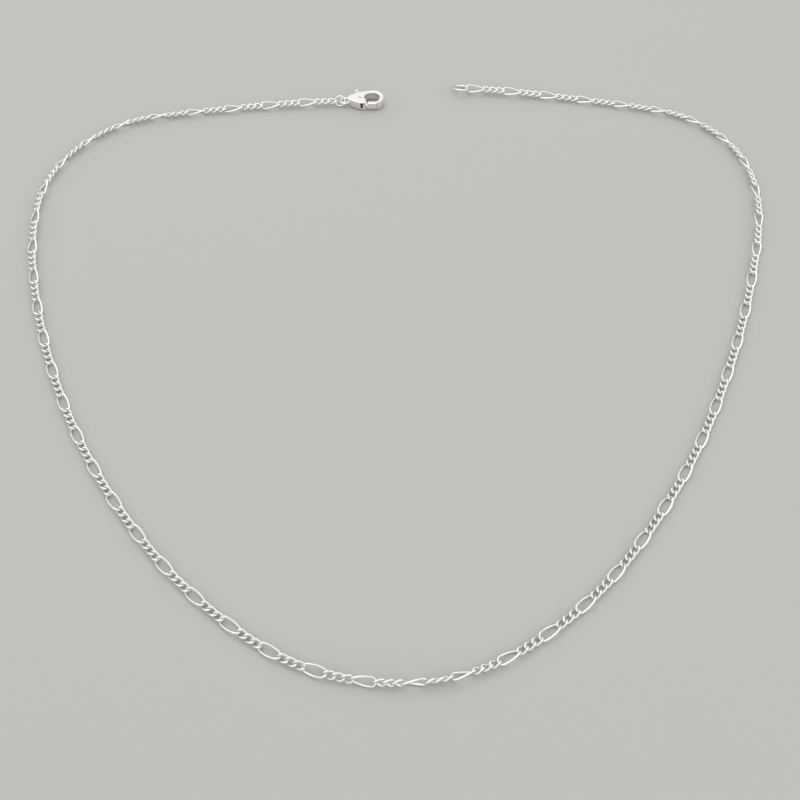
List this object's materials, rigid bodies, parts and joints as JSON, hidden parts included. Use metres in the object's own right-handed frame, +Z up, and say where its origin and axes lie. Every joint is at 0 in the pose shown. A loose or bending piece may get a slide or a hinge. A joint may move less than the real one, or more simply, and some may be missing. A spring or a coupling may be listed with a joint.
{
  "type": "chain necklace",
  "caption": "Figaro chain necklace in polished silver: three short links then one long link, lobster clasp, laid out open at the back.",
  "frame": {"origin": "middle of the laid-out necklace, on the surface it lies on", "axes": "+Z up from the surface; -Y towards the bottom of the loop, where a pendant would hang; +Y towards the open back; +X to the right, the end ring's side"},
  "size_m": [0.1719, 0.1628, 0.0026],
  "materials": {
    "silver": "polished",
    "steel": "polished"
  },
  "bodies": {
    "links_01": {"chain_01": "silver"},
    "links_02": {"chain_02": "silver"},
    "links_03": {"chain_03": "silver"},
    "links_04": {"chain_04": "silver"},
    "links_05": {"chain_05": "silver"},
    "links_06": {"chain_06": "silver"},
    "links_07": {"chain_07": "silver"},
    "links_08": {"chain_08": "silver"},
    "links_09": {"chain_09": "silver"},
    "links_10": {"chain_10": "silver"},
    "links_11": {"chain_11": "silver"},
    "links_12": {"chain_12": "silver"},
    "links_13": {"chain_13": "silver"},
    "links_14": {"chain_14": "silver"},
    "links_15": {"chain_15": "silver"},
    "links_16": {"chain_16": "silver"},
    "links_17": {"chain_17": "silver"},
    "links_18": {"chain_18": "silver"},
    "links_19": {"chain_19": "silver"},
    "links_20": {"chain_20": "silver"},
    "links_21": {"chain_21": "silver"},
    "links_22": {"chain_22": "silver"},
    "links_23": {"chain_23": "silver"},
    "links_24": {"chain_24": "silver"},
    "links_25": {"chain_25": "silver"},
    "links_26": {"chain_26": "silver"},
    "links_27": {"chain_27": "silver"},
    "links_28": {"chain_28": "silver"},
    "links_29": {"chain_29": "silver"},
    "links_30": {"chain_30": "silver"},
    "links_31": {"chain_31": "silver"},
    "links_32": {"chain_32": "silver"},
    "links_33": {"chain_33": "silver"},
    "links_34": {"chain_34": "silver"},
    "links_35": {"chain_35": "silver"},
    "links_36": {"chain_36": "silver"},
    "links_37": {"chain_37": "silver"},
    "links_38": {"chain_38": "silver"},
    "links_39": {"chain_39": "silver"},
    "links_40": {"chain_40": "silver"},
    "links_41": {"chain_41": "silver"},
    "links_42": {"chain_42": "silver"},
    "links_43": {"chain_43": "silver"},
    "links_44": {"chain_44": "silver"},
    "links_45": {"chain_45": "silver"},
    "links_46": {"chain_46": "silver"},
    "links_47": {"chain_47": "silver"},
    "links_48": {"chain_48": "silver"},
    "links_49": {"chain_49": "silver"},
    "links_50": {"chain_50": "silver"},
    "links_51": {"chain_51": "silver"},
    "links_52": {"chain_52": "silver"},
    "links_53": {"chain_53": "silver"},
    "clasp_ring": {"clasp_ring": "silver"},
    "clasp": {"clasp_body": "silver", "clasp_pin": "steel", "clasp_spring": "steel"},
    "trigger": {"clasp_trigger": "silver"},
    "end_ring": {"end_ring": "silver"}
  },
  "joints": [
    {"name": "fold_27_28", "type": "hinge", "parent": "links_27", "child": "links_28", "pos_m": [0.00504, -0.08039, 0.0013], "axis": [-0.0719, 0.9974, 0], "range_deg": [-23, 24]},
    {"name": "fold_28_29", "type": "hinge", "parent": "links_28", "child": "links_29", "pos_m": [0.01406, -0.07829, 0.0011], "axis": [0.2835, -0.959, 0], "range_deg": [-21, 21]},
    {"name": "fold_29_30", "type": "hinge", "parent": "links_29", "child": "links_30", "pos_m": [0.02243, -0.0743, 0.00087], "axis": [-0.482, 0.8762, 0], "range_deg": [-23, 22]},
    {"name": "fold_30_31", "type": "hinge", "parent": "links_30", "child": "links_31", "pos_m": [0.03008, -0.06907, 0.00074], "axis": [0.5889, -0.8082, 0], "range_deg": [-25, 24]},
    {"name": "fold_31_32", "type": "hinge", "parent": "links_31", "child": "links_32", "pos_m": [0.03711, -0.06302, 0.00075], "axis": [-0.6754, 0.7375, 0], "range_deg": [-26, 25]},
    {"name": "fold_32_33", "type": "hinge", "parent": "links_32", "child": "links_33", "pos_m": [0.04342, -0.05622, 0.00076], "axis": [0.7534, -0.6576, 0], "range_deg": [-25, 26]},
    {"name": "fold_33_34", "type": "hinge", "parent": "links_33", "child": "links_34", "pos_m": [0.04909, -0.04887, 0.00075], "axis": [-0.8014, 0.5981, 0], "range_deg": [-25, 25]},
    {"name": "fold_34_35", "type": "hinge", "parent": "links_34", "child": "links_35", "pos_m": [0.05433, -0.04122, 0.00073], "axis": [0.8331, -0.5531, 0], "range_deg": [-25, 25]},
    {"name": "fold_35_36", "type": "hinge", "parent": "links_35", "child": "links_36", "pos_m": [0.05915, -0.03329, 0.0007], "axis": [-0.8623, 0.5064, 0], "range_deg": [-25, 25]},
    {"name": "fold_36_37", "type": "hinge", "parent": "links_36", "child": "links_37", "pos_m": [0.06352, -0.0251, 0.00069], "axis": [0.8889, -0.4582, 0], "range_deg": [-25, 25]},
    {"name": "fold_37_38", "type": "hinge", "parent": "links_37", "child": "links_38", "pos_m": [0.06747, -0.0167, 0.00071], "axis": [-0.9102, 0.4142, 0], "range_deg": [-25, 26]},
    {"name": "fold_38_39", "type": "hinge", "parent": "links_38", "child": "links_39", "pos_m": [0.07109, -0.00816, 0.00073], "axis": [0.9242, -0.3818, 0], "range_deg": [-26, 26]},
    {"name": "fold_39_40", "type": "hinge", "parent": "links_39", "child": "links_40", "pos_m": [0.07441, 0.00051, 0.00072], "axis": [-0.9371, 0.3489, 0], "range_deg": [-25, 25]},
    {"name": "fold_40_41", "type": "hinge", "parent": "links_40", "child": "links_41", "pos_m": [0.07742, 0.00928, 0.00073], "axis": [0.9489, -0.3156, 0], "range_deg": [-24, 24]},
    {"name": "fold_41_42", "type": "hinge", "parent": "links_41", "child": "links_42", "pos_m": [0.08013, 0.01816, 0.00083], "axis": [-0.9594, 0.2819, 0], "range_deg": [-22, 22]},
    {"name": "fold_42_43", "type": "hinge", "parent": "links_42", "child": "links_43", "pos_m": [0.08251, 0.02713, 0.00094], "axis": [0.9688, -0.2479, 0], "range_deg": [-21, 20]},
    {"name": "fold_43_44", "type": "hinge", "parent": "links_43", "child": "links_44", "pos_m": [0.08433, 0.03622, 0.00102], "axis": [-0.9846, 0.1751, 0], "range_deg": [-18, 20]},
    {"name": "fold_44_45", "type": "hinge", "parent": "links_44", "child": "links_45", "pos_m": [0.0848, 0.04548, 0.00104], "axis": [1, 0.0025, 0], "range_deg": [-19, 16]},
    {"name": "fold_45_46", "type": "hinge", "parent": "links_45", "child": "links_46", "pos_m": [0.08324, 0.0546, 0.00103], "axis": [-0.9688, -0.2477, 0], "range_deg": [-14, 20]},
    {"name": "fold_46_47", "type": "hinge", "parent": "links_46", "child": "links_47", "pos_m": [0.07878, 0.06269, 0.00101], "axis": [0.8265, 0.563, 0], "range_deg": [-21, 14]},
    {"name": "fold_47_48", "type": "hinge", "parent": "links_47", "child": "links_48", "pos_m": [0.07183, 0.06878, 0.00099], "axis": [-0.5851, -0.8109, 0], "range_deg": [-15, 21]},
    {"name": "fold_48_49", "type": "hinge", "parent": "links_48", "child": "links_49", "pos_m": [0.06322, 0.07213, 0.00095], "axis": [0.2738, 0.9618, 0], "range_deg": [-20, 17]},
    {"name": "fold_49_50", "type": "hinge", "parent": "links_49", "child": "links_50", "pos_m": [0.05417, 0.07415, 0.00088], "axis": [-0.2087, -0.978, 0], "range_deg": [-20, 21]},
    {"name": "fold_50_51", "type": "hinge", "parent": "links_50", "child": "links_51", "pos_m": [0.04505, 0.07587, 0.00082], "axis": [0.1769, 0.9842, 0], "range_deg": [-25, 22]},
    {"name": "fold_51_52", "type": "hinge", "parent": "links_51", "child": "links_52", "pos_m": [0.03588, 0.0773, 0.00102], "axis": [-0.145, -0.9894, 0], "range_deg": [-25, 26]},
    {"name": "fold_52_53", "type": "hinge", "parent": "links_52", "child": "links_53", "pos_m": [0.02667, 0.07843, 0.00127], "axis": [0.1129, 0.9936, 0], "range_deg": [-25, 26]},
    {"name": "fold_27_26", "type": "hinge", "parent": "links_27", "child": "links_26", "pos_m": [-0.00422, -0.08053, 0.00129], "axis": [0.0693, 0.9976, 0], "range_deg": [-18, 22]},
    {"name": "fold_26_25", "type": "hinge", "parent": "links_26", "child": "links_25", "pos_m": [-0.01332, -0.0788, 0.00108], "axis": [-0.2658, -0.964, 0], "range_deg": [-18, 19]},
    {"name": "fold_25_24", "type": "hinge", "parent": "links_25", "child": "links_24", "pos_m": [-0.0219, -0.0753, 0.00085], "axis": [0.4518, 0.8921, 0], "range_deg": [-23, 20]},
    {"name": "fold_24_23", "type": "hinge", "parent": "links_24", "child": "links_23", "pos_m": [-0.0297, -0.07029, 0.00073], "axis": [-0.5816, -0.8135, 0], "range_deg": [-23, 25]},
    {"name": "fold_23_22", "type": "hinge", "parent": "links_23", "child": "links_22", "pos_m": [-0.03695, -0.0645, 0.00074], "axis": [0.6524, 0.7578, 0], "range_deg": [-25, 24]},
    {"name": "fold_22_21", "type": "hinge", "parent": "links_22", "child": "links_21", "pos_m": [-0.04365, -0.05808, 0.00076], "axis": [-0.718, -0.696, 0], "range_deg": [-23, 25]},
    {"name": "fold_21_20", "type": "hinge", "parent": "links_21", "child": "links_20", "pos_m": [-0.04975, -0.05109, 0.00076], "axis": [0.7738, 0.6334, 0], "range_deg": [-25, 24]},
    {"name": "fold_20_19", "type": "hinge", "parent": "links_20", "child": "links_19", "pos_m": [-0.05537, -0.04371, 0.00073], "axis": [-0.8101, -0.5863, 0], "range_deg": [-24, 25]},
    {"name": "fold_19_18", "type": "hinge", "parent": "links_19", "child": "links_18", "pos_m": [-0.06054, -0.03601, 0.00071], "axis": [0.8436, 0.537, 0], "range_deg": [-25, 24]},
    {"name": "fold_18_17", "type": "hinge", "parent": "links_18", "child": "links_17", "pos_m": [-0.06525, -0.02801, 0.00069], "axis": [-0.874, -0.4859, 0], "range_deg": [-25, 26]},
    {"name": "fold_17_16", "type": "hinge", "parent": "links_17", "child": "links_16", "pos_m": [-0.06947, -0.01975, 0.0007], "axis": [0.9014, 0.433, 0], "range_deg": [-26, 25]},
    {"name": "fold_16_15", "type": "hinge", "parent": "links_16", "child": "links_15", "pos_m": [-0.07322, -0.01126, 0.00073], "axis": [-0.9226, -0.3857, 0], "range_deg": [-24, 25]},
    {"name": "fold_15_14", "type": "hinge", "parent": "links_15", "child": "links_14", "pos_m": [-0.07654, -0.0026, 0.00078], "axis": [0.9411, 0.3381, 0], "range_deg": [-25, 23]},
    {"name": "fold_14_13", "type": "hinge", "parent": "links_14", "child": "links_13", "pos_m": [-0.07942, 0.00623, 0.00085], "axis": [-0.9571, -0.2897, 0], "range_deg": [-21, 22]},
    {"name": "fold_13_12", "type": "hinge", "parent": "links_13", "child": "links_12", "pos_m": [-0.08184, 0.01518, 0.00092], "axis": [0.9706, 0.2405, 0], "range_deg": [-20, 19]},
    {"name": "fold_12_11", "type": "hinge", "parent": "links_12", "child": "links_11", "pos_m": [-0.08371, 0.02427, 0.00098], "axis": [-0.9861, -0.166, 0], "range_deg": [-18, 19]},
    {"name": "fold_11_10", "type": "hinge", "parent": "links_11", "child": "links_10", "pos_m": [-0.08474, 0.03349, 0.00102], "axis": [0.9973, 0.0728, 0], "range_deg": [-18, 17]},
    {"name": "fold_10_09", "type": "hinge", "parent": "links_10", "child": "links_09", "pos_m": [-0.08466, 0.04275, 0.00105], "axis": [-0.9946, 0.1043, 0], "range_deg": [-16, 19]},
    {"name": "fold_09_08", "type": "hinge", "parent": "links_09", "child": "links_08", "pos_m": [-0.08214, 0.05166, 0.00106], "axis": [0.9227, -0.3855, 0], "range_deg": [-19, 16]},
    {"name": "fold_08_07", "type": "hinge", "parent": "links_08", "child": "links_07", "pos_m": [-0.07714, 0.05944, 0.00108], "axis": [-0.7696, 0.6385, 0], "range_deg": [-15, 18]},
    {"name": "fold_07_06", "type": "hinge", "parent": "links_07", "child": "links_06", "pos_m": [-0.07009, 0.06542, 0.0011], "axis": [0.5493, -0.8356, 0], "range_deg": [-18, 16]},
    {"name": "fold_06_05", "type": "hinge", "parent": "links_06", "child": "links_05", "pos_m": [-0.06159, 0.06907, 0.00107], "axis": [-0.2809, 0.9597, 0], "range_deg": [-17, 19]},
    {"name": "fold_05_04", "type": "hinge", "parent": "links_05", "child": "links_04", "pos_m": [-0.05247, 0.07076, 0.00097], "axis": [0.1689, -0.9856, 0], "range_deg": [-20, 20]},
    {"name": "fold_04_03", "type": "hinge", "parent": "links_04", "child": "links_03", "pos_m": [-0.04329, 0.07215, 0.00085], "axis": [-0.1369, 0.9906, 0], "range_deg": [-21, 23]},
    {"name": "fold_03_02", "type": "hinge", "parent": "links_03", "child": "links_02", "pos_m": [-0.03408, 0.07325, 0.00098], "axis": [0.1047, -0.9945, 0], "range_deg": [-25, 24]},
    {"name": "fold_02_01", "type": "hinge", "parent": "links_02", "child": "links_01", "pos_m": [-0.02484, 0.07404, 0.00125], "axis": [-0.0725, 0.9974, 0], "range_deg": [-26, 25]},
    {"name": "clasp_ring_swing", "type": "hinge", "parent": "links_01", "child": "clasp_ring", "pos_m": [-0.01558, 0.07454, 0.00132], "axis": [0.04, -0.9984, 0.0405], "range_deg": [-16, 16]},
    {"name": "clasp_swing", "type": "hinge", "parent": "clasp_ring", "child": "clasp", "pos_m": [-0.01344, 0.07462, 0.00133], "axis": [-0.0224, 0.5587, 0.829], "range_deg": [-50, 50]},
    {"name": "trigger_pivot", "type": "hinge", "parent": "clasp", "child": "trigger", "pos_m": [-0.00956, 0.07478, 0.00133], "axis": [0, 0, 1], "range_deg": [0, 20], "stiffness_Nm_per_rad": 0.003, "springref_deg": -8.59},
    {"name": "end_ring_swing", "type": "hinge", "parent": "links_53", "child": "end_ring", "pos_m": [0.01746, 0.07925, 0.00133], "axis": [0.0807, 0.9959, 0.04], "range_deg": [-24, 28]}
  ]
}
